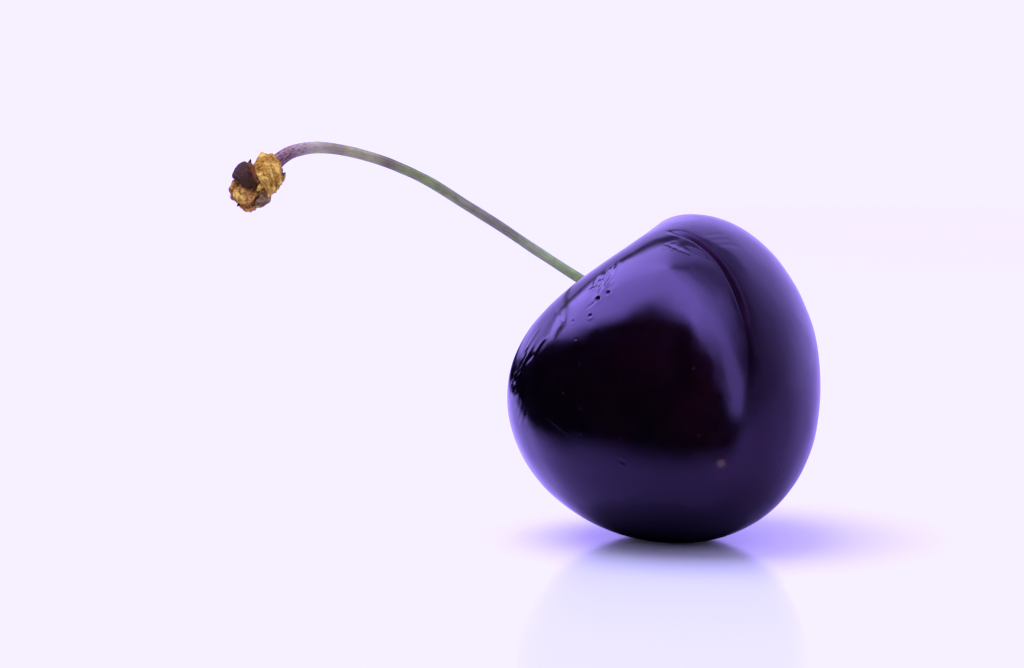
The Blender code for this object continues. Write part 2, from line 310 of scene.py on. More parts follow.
redness = smooth_step(0.9, 2.2, polar) * smooth_step(0.0, 1.6, longitude)
fruit = closed_surface(
    "cherry_fruit", fruit_points, scar=scar, redness=redness, stained=stained
)


def new_look(name):
    """A material with a Principled shader: its node tree and the shader."""
    made = bpy.data.materials.new(name)
    made.use_nodes = True
    return made, made.node_tree, made.node_tree.nodes["Principled BSDF"]


def node(tree, kind, inputs=None, **settings):
    """A node whose inputs are given as values or as the sockets that feed them."""
    made = tree.nodes.new("ShaderNode" + kind)
    for setting, value in settings.items():
        setattr(made, setting, value)
    for socket, source in (inputs or {}).items():
        if isinstance(source, bpy.types.NodeSocket):
            tree.links.new(source, made.inputs[socket])
        else:
            made.inputs[socket].default_value = source
    return made


def maths(tree, operation, first, second=0.0, third=0.0):
    """The result of one Math node."""
    return node(tree, "Math", {0: first, 1: second, 2: third}, operation=operation).outputs[0]


def mixed(tree, factor, first, second):
    """A colour mixed from two by a factor."""
    made = tree.nodes.new("ShaderNodeMix")
    made.data_type = "RGBA"
    for place, source in ((0, factor), (6, first), (7, second)):
        socket = made.inputs[place]
        if isinstance(source, bpy.types.NodeSocket):
            tree.links.new(source, socket)
        else:
            socket.default_value = source
    return made.outputs[2]


def from_range(tree, value, low, high, to_low=0.0, to_high=1.0):
    """A smooth remap of a value from one range to another."""
    inputs = {"Value": value, "From Min": low, "From Max": high, "To Min": to_low, "To Max": to_high}
    return node(tree, "MapRange", inputs, interpolation_type="SMOOTHSTEP").outputs[0]


def mask_of(tree, name):
    """One of the piece's own vertex masks."""
    return node(tree, "Attribute", attribute_name=name).outputs["Fac"]


def object_place(tree):
    """Object coordinates, in metres."""
    return node(tree, "TexCoord").outputs["Object"]


def colour(red, green, blue):
    """A colour with full alpha."""
    return (red, green, blue, 1.0)


def mottle_group():
    """Soft blotches with finer ones in them: Vector and Size in metres go in and Mask comes out. A
    Sharpness near a quarter leaves hard edges, and 0 leaves a slow change."""
    group = bpy.data.node_groups.new("mottle", "ShaderNodeTree")
    group.interface.new_socket("Vector", in_out="INPUT", socket_type="NodeSocketVector")
    size = group.interface.new_socket("Size", in_out="INPUT", socket_type="NodeSocketFloat")
    size.default_value = MM
    sharp = group.interface.new_socket("Sharpness", in_out="INPUT", socket_type="NodeSocketFloat")
    sharp.default_value = 0.2
    group.interface.new_socket("Mask", in_out="OUTPUT", socket_type="NodeSocketFloat")
    entry, leave = group.nodes.new("NodeGroupInput"), group.nodes.new("NodeGroupOutput")
    scale = maths(group, "DIVIDE", 1.0, entry.outputs["Size"])
    inputs = {"Vector": entry.outputs["Vector"], "Scale": scale, "Detail": 5.0, "Roughness": 0.6}
    blotches = node(group, "TexNoise", inputs).outputs["Fac"]
    half_width = maths(group, "SUBTRACT", 0.25, entry.outputs["Sharpness"])
    low, high = maths(group, "SUBTRACT", 0.5, half_width), maths(group, "ADD", 0.5, half_width)
    remap = node(group, "MapRange", {"Value": blotches, "From Min": low, "From Max": high})
    group.links.new(remap.outputs[0], leave.inputs["Mask"])
    return group


mottle = mottle_group()


def blotches_of(tree, size, sharpness=0.1, place=None):
    """Places the mottle group in a material and gives its mask."""
    made = tree.nodes.new("ShaderNodeGroup")
    made.node_tree = mottle
    tree.links.new(place or object_place(tree), made.inputs["Vector"])
    made.inputs["Size"].default_value = size
    made.inputs["Sharpness"].default_value = sharpness
    return made.outputs["Mask"]


def skin_look():
    """Waxy skin: near black with maroon where it is thinnest, a bluish gloss that changes a little
    with the bloom, painted shade along the suture's groove, dark and mirroring nothing, sparse
    specks, and a dull tan scar."""
    made, tree, shader = new_look("ripe_skin")
    place = object_place(tree)
    black, maroon = colour(0.0006, 0.0001, 0.0008), colour(0.0085, 0.0006, 0.0028)
    red = maths(tree, "MULTIPLY", mask_of(tree, "redness"), blotches_of(tree, 4.0 * MM, 0.05))
    flesh = mixed(tree, red, black, maroon)
    # Painted shade in the suture's groove: a dark colour and a metal that mirrors nothing.
    groove_shade_mask = mask_of(tree, "stained")
    flesh = mixed(tree, groove_shade_mask, flesh, colour(0.006, 0.0006, 0.0030))
    tree.links.new(maths(tree, "MULTIPLY", groove_shade_mask, 0.92), shader.inputs["Metallic"])
    pores = node(tree, "TexVoronoi", {"Vector": place, "Scale": 620.0}).outputs["Distance"]
    speck = from_range(tree, pores, 0.10, 0.03)
    rare = from_range(tree, blotches_of(tree, 3.0 * MM, 0.15), 0.58, 0.70)
    speck = maths(tree, "MULTIPLY", speck, rare)
    flesh = mixed(tree, maths(tree, "MULTIPLY", speck, 0.2), flesh, colour(0.06, 0.03, 0.05))
    scar_mask = mask_of(tree, "scar")
    flesh = mixed(tree, maths(tree, "MULTIPLY", scar_mask, 0.8), flesh, colour(0.10, 0.055, 0.032))
    tree.links.new(flesh, shader.inputs["Base Color"])
    bloom = from_range(tree, blotches_of(tree, 1.8 * MM, 0.05), 0.1, 0.9, 0.11, 0.20)
    dull = maths(tree, "MULTIPLY", maths(tree, "ADD", groove_shade_mask, scar_mask), 0.28)
    tree.links.new(maths(tree, "ADD", bloom, dull), shader.inputs["Roughness"])
    shader.inputs["IOR"].default_value = 1.54
    shader.inputs["Specular Tint"].default_value = colour(0.85, 0.75, 1.0)
    fine = node(tree, "TexNoise", {"Vector": place, "Scale": 1100.0, "Detail": 3.0}).outputs["Fac"]
    height = maths(tree, "SUBTRACT", fine, maths(tree, "MULTIPLY", speck, 1.5))
    bump = node(tree, "Bump", {"Height": height, "Distance": 0.006 * MM, "Strength": 1.0})
    tree.links.new(bump.outputs[0], shader.inputs["Normal"])
    return made


fruit.data.materials.append(skin_look())
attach(fruit, "root")
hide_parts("fruit")

# ---------------------------------------------------------------------------------------------
# The pedicel: the cherry's stalk, grown green and faintly ridged, darkened where it dried and mauve
# brown at the end that met the tree. It stands in the cavity on a small swollen foot, and broadens
# again where it enters the knob.

PEDICEL_RADIUS = 0.38 * MM
FOOT_SWELLING, FOOT_SWELLING_LENGTH = 0.20 * MM, 0.07
HEAD_SWELLING, HEAD_SWELLING_LENGTH = 0.27 * MM, 0.22
FOOT_RISE = 2.2 * MM
FOOT_BURIED = 0.12 * MM
PEDICEL_ROUTE = np.array([
    (-4.0, 2.8, 2.9),
    (-7.8, 4.0, 5.2),
    (-10.8, 4.1, 7.2),
    (-13.7, 3.4, 9.1),
    (-16.5, 2.2, 11.0),
    (-19.3, 0.5, 12.5),
    (-22.1, -1.4, 13.6),
    (-24.8, -3.4, 14.2),
    (-26.6, -5.0, 14.1),
    (-27.7, -6.0, 13.6),
]) * MM
KNOB_AXIS = np.array(Vector((0.65, 0.37, 0.67)).normalized())
KNOB_HALF_LENGTH = 2.3 * MM
KNOB_OUTSTAND = 0.3 * MM
SPUR_TOP = 0.9 * MM
STALK_RINGS, STALK_COLUMNS = 300, 36
STALK_LUMPS, STALK_LUMP_LENGTH = 0.02 * MM, 1.3 * MM
STALK_END_ROUNDING = 0.004

cavity_floor = fruit_centre + FRUIT_AXES[2] * (HALF_HEIGHT - CAVITY_DEPTH)
knob_centre = cavity_floor + PEDICEL_ROUTE[-1] - KNOB_AXIS * (KNOB_HALF_LENGTH + KNOB_OUTSTAND)
stalk_controls = np.vstack([
    cavity_floor - FRUIT_AXES[2] * FOOT_BURIED,
    cavity_floor + FRUIT_AXES[2] * FOOT_RISE,
    cavity_floor + PEDICEL_ROUTE,
    knob_centre + KNOB_AXIS * SPUR_TOP,
])


def smooth_path(controls, count):
    """A cubic through the control points whose slope at each is half the step between its
    neighbours, read at evenly spread parameters."""
    padded = np.vstack([2 * controls[0] - controls[1], controls, 2 * controls[-1] - controls[-2]])
    place = np.linspace(0, len(controls) - 1, count)
    index = np.minimum(place.astype(int), len(controls) - 2)
    t = (place - index)[:, None]
    before, start, end, after = (padded[index + k] for k in range(4))
    return 0.5 * (
        2 * start
        + (end - before) * t
        + (2 * before - 5 * start + 4 * end - after) * t ** 2
        + (3 * start - before - 3 * end + after) * t ** 3
    )


def tube_frames(path):
    """Two unit vectors square to the path at each point: one level, one square to that."""
    heading = np.gradient(path, axis=0)
    heading /= np.linalg.norm(heading, axis=1)[:, None]
    level = np.cross(heading, (0, 0, 1))
    level /= np.linalg.norm(level, axis=1)[:, None]
    return level, np.cross(level, heading)


stalk_path = smooth_path(stalk_controls, STALK_RINGS)
level, upright = tube_frames(stalk_path)
share = np.linspace(0, 1, STALK_RINGS)[:, None]
turn = np.linspace(0, 2 * math.pi, STALK_COLUMNS, endpoint=False)[None, :]
stalk_radius = (
    PEDICEL_RADIUS
    + FOOT_SWELLING * np.exp(-share / FOOT_SWELLING_LENGTH)
    + HEAD_SWELLING * np.exp(-(1 - share) / HEAD_SWELLING_LENGTH)
)
ribs = 0.035 * np.cos(5 * turn + 6 * share) + 0.02 * np.cos(9 * turn - 9 * share)
ends = np.sqrt(np.clip(np.minimum(share, 1 - share) / STALK_END_ROUNDING, 0, 1))
stalk_round = np.cos(turn)[..., None] * level[:, None] + np.sin(turn)[..., None] * upright[:, None]
stalk_points = stalk_path[:, None] + stalk_round * (stalk_radius * (1 + ribs) * ends)[..., None]
lumps = noise(stalk_points, STALK_LUMP_LENGTH, 3)
stalk_points = stalk_points + stalk_round * (STALK_LUMPS * lumps * ends)[..., None]
pedicel = closed_surface(
    "cherry_pedicel",
    stalk_points,
    along=np.broadcast_to(share, lumps.shape),
    across=np.broadcast_to(np.sin(turn), lumps.shape),
    around=np.broadcast_to(np.cos(turn), lumps.shape),
)


def fibre_group():
    """Lengthwise fibres: Along, Across and Around from the piece's masks and a Fineness go in, and
    a Mask that is long in the Along direction comes out."""
    group = bpy.data.node_groups.new("fibres", "ShaderNodeTree")
    starts = {"Along": 0.0, "Across": 0.0, "Around": 0.0, "Fineness": 6.0, "Length": 12.0}
    for name, value in starts.items():
        socket = group.interface.new_socket(name, in_out="INPUT", socket_type="NodeSocketFloat")
        socket.default_value = value
    group.interface.new_socket("Mask", in_out="OUTPUT", socket_type="NodeSocketFloat")
    entry, leave = group.nodes.new("NodeGroupInput"), group.nodes.new("NodeGroupOutput")
    across = maths(group, "MULTIPLY", entry.outputs["Across"], entry.outputs["Fineness"])
    around = maths(group, "MULTIPLY", entry.outputs["Around"], entry.outputs["Fineness"])
    along = maths(group, "MULTIPLY", entry.outputs["Along"], entry.outputs["Length"])
    place = node(group, "CombineXYZ", {"X": across, "Y": around, "Z": along}).outputs[0]
    inputs = {"Vector": place, "Scale": 1.0, "Detail": 4.0, "Roughness": 0.6}
    streaks = node(group, "TexNoise", inputs).outputs["Fac"]
    group.links.new(from_range(group, streaks, 0.3, 0.7), leave.inputs["Mask"])
    return group


fibres = fibre_group()


def fibres_of(tree, fineness, length):
    """Places the fibres group in a material, fed by the piece's masks, and gives its mask."""
    made = tree.nodes.new("ShaderNodeGroup")
    made.node_tree = fibres
    for socket, mask in (("Along", "along"), ("Across", "across"), ("Around", "around")):
        tree.links.new(mask_of(tree, mask), made.inputs[socket])
    made.inputs["Fineness"].default_value = fineness
    made.inputs["Length"].default_value = length
    return made.outputs["Mask"]


def banded(tree, value, stops):
    """A colour ramp with the given (place, colour) stops."""
    ramp = node(tree, "ValToRGB", {"Fac": value})
    elements = ramp.color_ramp.elements
    for place, shade in stops[1:-1]:
        elements.new(place).color = shade
    elements[0].position, elements[0].color = stops[0]
    elements[-1].position, elements[-1].color = stops[-1]
    return ramp.outputs["Color"]


def stalk_look():
    """Stalk skin: green at the fruit, smoky grey green, a brown band, olive, then mauve brown, with
    pale lengthwise fibres and dark broken veins towards the knob."""
    made, tree, shader = new_look("green_stem")
    shades = banded(tree, mask_of(tree, "along"), [
        (0.00, colour(0.22, 0.30, 0.06)),
        (0.17, colour(0.22, 0.38, 0.07)),
        (0.24, colour(0.27, 0.38, 0.12)),
        (0.33, colour(0.18, 0.20, 0.10)),
        (0.42, colour(0.22, 0.25, 0.10)),
        (0.51, colour(0.22, 0.33, 0.06)),
        (0.56, colour(0.22, 0.29, 0.07)),
        (0.60, colour(0.14, 0.11, 0.05)),
        (0.625, colour(0.33, 0.32, 0.12)),
        (0.68, colour(0.37, 0.38, 0.13)),
        (0.72, colour(0.30, 0.26, 0.12)),
        (0.77, colour(0.46, 0.43, 0.24)),
        (0.83, colour(0.33, 0.25, 0.18)),
        (0.88, colour(0.23, 0.12, 0.11)),
        (1.00, colour(0.18, 0.07, 0.06)),
    ])
    streaks = fibres_of(tree, 5.0, 14.0)
    shades = mixed(tree, maths(tree, "MULTIPLY", streaks, 0.35), shades, colour(0.50, 0.46, 0.30))
    dark = maths(tree, "MULTIPLY", blotches_of(tree, 0.8 * MM, 0.1), 0.30)
    shades = mixed(tree, dark, shades, colour(0.08, 0.05, 0.045))
    near_knob = from_range(tree, mask_of(tree, "along"), 0.74, 0.92, 0.15, 0.75)
    veins = maths(tree, "MULTIPLY", from_range(tree, fibres_of(tree, 4.5, 70.0), 0.50, 0.62), near_knob)
    shades = mixed(tree, veins, shades, colour(0.10, 0.025, 0.030))
    tree.links.new(shades, shader.inputs["Base Color"])
    tree.links.new(from_range(tree, streaks, 0.0, 1.0, 0.45, 0.65), shader.inputs["Roughness"])
    shader.inputs["IOR"].default_value = 1.4
    shader.inputs["Specular IOR Level"].default_value = 0.2
    bump = node(tree, "Bump", {"Height": streaks, "Distance": 0.04 * MM, "Strength": 0.8})
    tree.links.new(bump.outputs[0], shader.inputs["Normal"])
    return made


pedicel.data.materials.append(stalk_look())
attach(pedicel, "root")
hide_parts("pedicel")

# ---------------------------------------------------------------------------------------------
# The spur base: the stub of tree wood that the stalk tore away with. It is crumbly red-brown bark,
# broken rough at the lower end and hidden under the bud scales above.

KNOB_RADIUS = 1.75 * MM
KNOB_DEPTH_SHARE = 0.95
KNOB_SQUARENESS = 3.0
SPUR_ROWS, SPUR_COLUMNS = 130, 200
SPUR_TOP_SHARE = 0.72
SPUR_GIRTH, SPUR_HIDDEN_LOSS = 0.74, 0.10
CRUMB_SIZE, CRUMB_SHARE = 1.1 * MM, 0.34

knob_side = np.cross(KNOB_AXIS, (0, -1, 0))
knob_side /= np.linalg.norm(knob_side)
knob_front = np.cross(knob_side, KNOB_AXIS)


def barrel(part):
    """Radius of a barrel at a share of its half length, from 1 at the middle to 0 at the ends."""
    return (1 - np.minimum(np.abs(part), 1) ** KNOB_SQUARENESS) ** (1 / KNOB_SQUARENESS)


def round_knob(angle, along, reach):
    """Points about the knob's axis. Angle 0 faces the front, and along runs towards the stalk."""
    round_way = np.sin(angle)[..., None] * knob_side
    round_way = round_way + KNOB_DEPTH_SHARE * np.cos(angle)[..., None] * knob_front
    return knob_centre + along[..., None] * KNOB_AXIS + reach[..., None] * round_way


def crumbs(points, cell, seed):
    """Sharp-edged lumps: four octaves of folded noise, each half the size of the one before."""
    return sum((1 - 2 * np.abs(noise(points, cell / 2 ** k, seed + k))) / 2 ** k for k in range(4)) / 2


spur_polar, spur_turn = np.meshgrid(
    np.linspace(0, math.pi, SPUR_ROWS),
    np.linspace(-math.pi, math.pi, SPUR_COLUMNS, endpoint=False),
    indexing="ij",
)
spur_low, spur_high = -KNOB_HALF_LENGTH, KNOB_HALF_LENGTH * SPUR_TOP_SHARE
spur_along = (spur_low + spur_high) / 2 + np.cos(spur_polar) * (spur_high - spur_low) / 2
under_scales = smooth_step(-0.6 * MM, 0.4 * MM, spur_along)
spur_reach = KNOB_RADIUS * np.minimum(barrel(np.cos(spur_polar)), barrel(spur_along / KNOB_HALF_LENGTH))
spur_reach = spur_reach * (SPUR_GIRTH - SPUR_HIDDEN_LOSS * under_scales)
plain_spur = round_knob(spur_turn, spur_along, spur_reach)
broken = crumbs(plain_spur, CRUMB_SIZE, 10)
spur_points = plain_spur + (plain_spur - knob_centre) * (CRUMB_SHARE * broken - 0.02)[..., None]
spur = closed_surface("knob_spur_base", spur_points, crumbly=broken)


def bark_look():
    """Dry bark: red brown with rust, painted shade black in the cracks, paler broken edges and grains.
    """
    made, tree, shader = new_look("spur_bark")
    # Colour by height over the crumbs: painted shade near black down in the cracks, through red brown,
    # to paler broken edges.
    height = from_range(tree, mask_of(tree, "crumbly"), 0.05, 0.62)
    shades = banded(tree, height, [
        (0.0, colour(0.010, 0.003, 0.001)),
        (0.40, colour(0.050, 0.014, 0.002)),
        (0.75, colour(0.16, 0.055, 0.008)),
        (1.0, colour(0.65, 0.34, 0.065)),
    ])
    spots = maths(tree, "MULTIPLY", blotches_of(tree, 0.30 * MM, 0.17), 0.85)
    shades = mixed(tree, spots, shades, colour(0.045, 0.012, 0.003))
    rust = maths(tree, "MULTIPLY", blotches_of(tree, 0.6 * MM, 0.12), 0.6)
    shades = mixed(tree, rust, shades, colour(0.13, 0.030, 0.007))
    grains = maths(tree, "MULTIPLY", blotches_of(tree, 0.16 * MM, 0.14), 0.4)
    shades = mixed(tree, grains, shades, colour(0.50, 0.27, 0.055))
    tree.links.new(shades, shader.inputs["Base Color"])
    shader.inputs["Roughness"].default_value = 0.85
    shader.inputs["Specular IOR Level"].default_value = 0.04
    grit = node(tree, "TexNoise", {"Vector": object_place(tree), "Scale": 6000.0, "Detail": 4.0})
    bump = node(tree, "Bump", {"Height": grit.outputs["Fac"], "Distance": 0.05 * MM, "Strength": 0.8})
    tree.links.new(bump.outputs[0], shader.inputs["Normal"])
    return made


spur.data.materials.append(bark_look())
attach(spur, "root")
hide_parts("spur_base")

# ---------------------------------------------------------------------------------------------
# The bud scales: papery leaves that wrapped the bud in winter and dried on the knob. Each is a thin
# curved flake with a rolled rim: one nearly black, two golden, crumpled and pleated round the knob,
# and a grey one below. A golden lump and a few broken tips of scale are dried on beside them.

SCALE_RINGS, SCALE_COLUMNS = 90, 180
TIP_RINGS, TIP_COLUMNS = 40, 60
KNOB_END_SHARE = 0.985


def bud_scale(
    name, turn, reach, low, high, slant, fold_way, folds, depth, crumple, thick, lift, ragged, seed
):
    """A flake on the barrel. A disc is stretched to reach round the knob and from low to high, its
    outer and inner sides are half the thickness either way, and sharp-crested folds that run square
    to fold_way, bent and broken by crumples, raise it and push its rim out in teeth."""
    tilt, spin = np.meshgrid(
        np.linspace(0, math.pi, SCALE_RINGS),
        np.linspace(0, 2 * math.pi, SCALE_COLUMNS, endpoint=False),
        indexing="ij",
    )
    disc = np.sin(tilt) ** 0.8
    squared = (np.abs(np.cos(spin)) ** 2.4 + np.abs(np.sin(spin)) ** 2.4) ** (-1 / 2.4)
    across, upward = disc * squared * np.cos(spin), disc * squared * np.sin(spin)
    flat = np.stack([across, upward, np.full_like(across, seed)], axis=-1)
    way = math.radians(fold_way)
    phase = folds * (math.cos(way) * across + math.sin(way) * upward)
    phase = phase + 2.2 * noise(flat, 0.8, seed) + 0.7 * noise(flat, 0.3, seed + 1)
    crest = (1 - 2 * np.abs(np.sin(phase))) * (0.6 + 0.5 * noise(flat, 0.6, seed + 3))
    rim = 1 + ragged * (0.5 * np.cos(3 * spin + seed) + 0.3 * np.cos(7 * spin + 2 * seed) + 0.9 * crest)
    rim = 1 + (rim - 1) * disc ** 3
    angle = np.radians(turn + slant * upward + reach * across * rim)
    along = ((low + high) / 2 + (high - low) / 2 * upward * rim) * MM
    along = np.clip(along, -KNOB_END_SHARE * KNOB_HALF_LENGTH, KNOB_END_SHARE * KNOB_HALF_LENGTH)
    middle = KNOB_RADIUS * barrel(along / KNOB_HALF_LENGTH)
    lumps = crumbs(round_knob(angle, along, middle), 0.9 * MM, seed + 2)
    relief = depth * crest + crumple * lumps
    side = np.cos(tilt) * thick / 2 * MM
    points = round_knob(angle, along, middle + (lift + relief) * MM + side)
    return closed_surface(
        name, points, along=across, across=upward, around=np.cos(tilt), fold=relief / (depth + crumple)
    )


def knob_chip(name, turn, along, out, length, width, lean, seed):
    """A small broken tip: a tapered drop of the given length and width that points down the knob and
    leans outwards, roughened by noise."""
    tilt, spin = np.meshgrid(
        np.linspace(0, math.pi, TIP_RINGS),
        np.linspace(0, 2 * math.pi, TIP_COLUMNS, endpoint=False),
        indexing="ij",
    )
    angle = math.radians(turn)
    outward = math.sin(angle) * knob_side + math.cos(angle) * knob_front
    beside = np.cross(KNOB_AXIS, outward)
    point = -KNOB_AXIS * math.cos(math.radians(lean)) + outward * math.sin(math.radians(lean))
    upper = np.cross(beside, point)
    taper = np.sin(tilt) * (1 + 0.45 * np.cos(tilt))
    place = knob_centre + KNOB_AXIS * along * MM + outward * out * MM
    centre_line = place - point * (length / 2 * MM * np.cos(tilt))[..., None]
    round_way = np.cos(spin)[..., None] * beside + 0.7 * np.sin(spin)[..., None] * upper
    points = centre_line + round_way * (width / 2 * MM * taper)[..., None]
    rough = crumbs(points, 0.22 * MM, seed)
    points = points + round_way * (0.05 * MM * rough * np.sin(tilt))[..., None]
    return closed_surface(
        name, points, along=np.cos(tilt), across=np.cos(spin), around=np.sin(spin), fold=rough
    )


def scale_look(name, deep, body, edge, second, rim, roughness, gloss):
    """Dry scale: a body colour with painted shade in the folds and a painted highlight on the crests,
    blotched with a second colour, turning to the rim's colour at its right side, with fine fibres."""
    made, tree, shader = new_look(name)
    # Painted shade dark in the folds and a painted highlight pale on the crests, by the fold relief.
    fold = from_range(tree, mask_of(tree, "fold"), -0.35, 0.50)
    shades = banded(tree, fold, [(0.0, deep), (0.35, body), (0.6, body), (1.0, edge)])
    blotch = maths(tree, "MULTIPLY", blotches_of(tree, 0.35 * MM, 0.16), 0.75)
    shades = mixed(tree, blotch, shades, second)
    streaks = fibres_of(tree, 9.0, 3.0)
    shades = mixed(tree, maths(tree, "MULTIPLY", streaks, 0.35), shades, deep)
    flecks = maths(tree, "MULTIPLY", blotches_of(tree, 0.18 * MM, 0.17), 0.3)
    shades = mixed(tree, flecks, shades, edge)
    rightward = maths(tree, "ADD", mask_of(tree, "along"), mask_of(tree, "across"))
    at_rim = from_range(tree, rightward, 0.75, 1.25)
    shades = mixed(tree, maths(tree, "MULTIPLY", at_rim, 0.7), shades, rim)
    tree.links.new(shades, shader.inputs["Base Color"])
    shader.inputs["Roughness"].default_value = roughness
    shader.inputs["Specular IOR Level"].default_value = gloss
    bump = node(tree, "Bump", {"Height": streaks, "Distance": 0.06 * MM, "Strength": 0.8})
    tree.links.new(bump.outputs[0], shader.inputs["Normal"])
    return made


gold = scale_look(
    "golden_scale", colour(0.060, 0.020, 0.002), colour(0.38, 0.180, 0.012), colour(0.98, 0.66, 0.11),
    colour(0.17, 0.058, 0.007), colour(0.40, 0.20, 0.03), 0.6, 0.05,
)
tan = scale_look(
    "tan_scale", colour(0.055, 0.020, 0.003), colour(0.28, 0.14, 0.018), colour(0.85, 0.60, 0.18),
    colour(0.18, 0.085, 0.016), colour(0.35, 0.18, 0.035), 0.6, 0.05,
)
umber = scale_look(
    "dark_scale", colour(0.006, 0.003, 0.002), colour(0.016, 0.009, 0.004), colour(0.050, 0.030, 0.010),
    colour(0.055, 0.020, 0.006), colour(0.26, 0.085, 0.018), 0.5, 0.06,
)
grey = scale_look(
    "grey_scale", colour(0.05, 0.024, 0.010), colour(0.17, 0.10, 0.045), colour(0.36, 0.25, 0.10),
    colour(0.11, 0.055, 0.015), colour(0.16, 0.09, 0.03), 0.7, 0.05,
)

for node_name, look, slot, shape in (
    ("dark_bud_scale", umber, "dark_scale", dict(
        turn=-47, reach=45, low=-1.7, high=0.15, slant=-8, fold_way=20, folds=1.6, depth=0.04,
        crumple=0.14, thick=0.5, lift=0.12, ragged=0.09, seed=21)),
    ("golden_scale_front", gold, "golden_scale", dict(
        turn=1, reach=50, low=-0.75, high=2.1, slant=-24, fold_way=64, folds=4.2, depth=0.15,
        crumple=0.20, thick=0.24, lift=-0.02, ragged=0.12, seed=22)),
    ("golden_scale_back", tan, "golden_scale", dict(
        turn=120, reach=60, low=-0.5, high=2.1, slant=12, fold_way=55, folds=4.5, depth=0.12,
        crumple=0.18, thick=0.22, lift=-0.44, ragged=0.10, seed=23)),
    ("lower_scale", grey, "grey_scale", dict(
        turn=66, reach=34, low=-1.85, high=-0.4, slant=0, fold_way=60, folds=1.5, depth=0.04,
        crumple=0.10, thick=0.3, lift=-0.14, ragged=0.08, seed=24)),
):
    flake = bud_scale("knob_" + node_name, **shape)
    flake.data.materials.append(look)
    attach(flake, "root")
    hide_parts(node_name)

for chip_name, look, slot, shape in (
    ("knob_golden_bud", gold, "golden_scale", dict(
        turn=-18, along=-2.28, out=1.0, length=1.2, width=1.2, lean=35, seed=25)),
    ("knob_dark_nub", umber, "dark_scale", dict(
        turn=-80, along=0.45, out=1.6, length=0.55, width=0.32, lean=150, seed=31)),
    ("knob_dark_tip", umber, "dark_scale", dict(
        turn=15, along=-2.6, out=0.5, length=0.7, width=0.26, lean=10, seed=32)),
    ("knob_green_bead", grey, "grey_scale", dict(
        turn=40, along=1.25, out=1.25, length=0.45, width=0.42, lean=40, seed=33)),
    ("knob_tan_tip", tan, "golden_scale", dict(
        turn=40, along=0.2, out=1.45, length=0.8, width=0.34, lean=10, seed=34)),
    ("knob_pale_tip", gold, "golden_scale", dict(
        turn=14, along=-0.75, out=1.62, length=0.9, width=0.36, lean=8, seed=35)),
):
    chip = knob_chip(chip_name, **shape)
    chip.data.materials.append(look)
    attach(chip, "root")
    if chip_name == "knob_golden_bud":
        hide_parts("golden_bud")

# ---------------------------------------------------------------------------------------------
# The studio: a pale glossy table that fades into a pale room, one large soft light overhead to the
# left, and the lit and unlit sides of the room, which the dark skin mirrors. It isn't part of the
# cherry.

TABLE_DROP = 0.02 * MM
TABLE_REACH = 1.0
TABLE_FADE_START, TABLE_FADE_END = 0.22, 0.45
MIRRORED_TABLE_REACH = 0.5
CONTACT_SHADE_START, CONTACT_SHADE_END = 3.5 * MM, 10 * MM
PALE = (1.22, 1.18, 2.1)
MIRRORED = (0.42, 0.325, 1.0)
MATT_STRENGTH = 0.80
MIRRORED_STRENGTH, MIRRORED_DARKEST = 15.0, 0.012
GAP_DEPTH = 0.85
PANEL_SIDE, PANEL_POWER = 0.52, 7.2
PANEL_PLACE = (-0.22, 0.03, 0.60)


def bearing(tree, place):
    """The direction of a place about the vertical: 0 and 1 behind the object, 0.25 on its left, 0.5
    in front of it and 0.75 on its right."""
    parts = node(tree, "SeparateXYZ", {"Vector": place}).outputs
    front = maths(tree, "MULTIPLY", parts["Y"], -1.0)
    return maths(tree, "MULTIPLY_ADD", maths(tree, "ARCTAN2", parts["X"], front), 0.5 / math.pi, 0.5)


def outline(tree, turned, stops):
    """A value that follows the bearing through the given (degrees from the front, value) stops."""
    curve = node(tree, "FloatCurve", {"Value": turned})
    points = curve.mapping.curves[0].points
    for degrees, value in stops[1:-1]:
        points.new(degrees / 360 + 0.5, value)
    points[0].location = (stops[0][0] / 360 + 0.5, stops[0][1])
    points[-1].location = (stops[-1][0] / 360 + 0.5, stops[-1][1])
    curve.mapping.update()
    return curve.outputs[0]


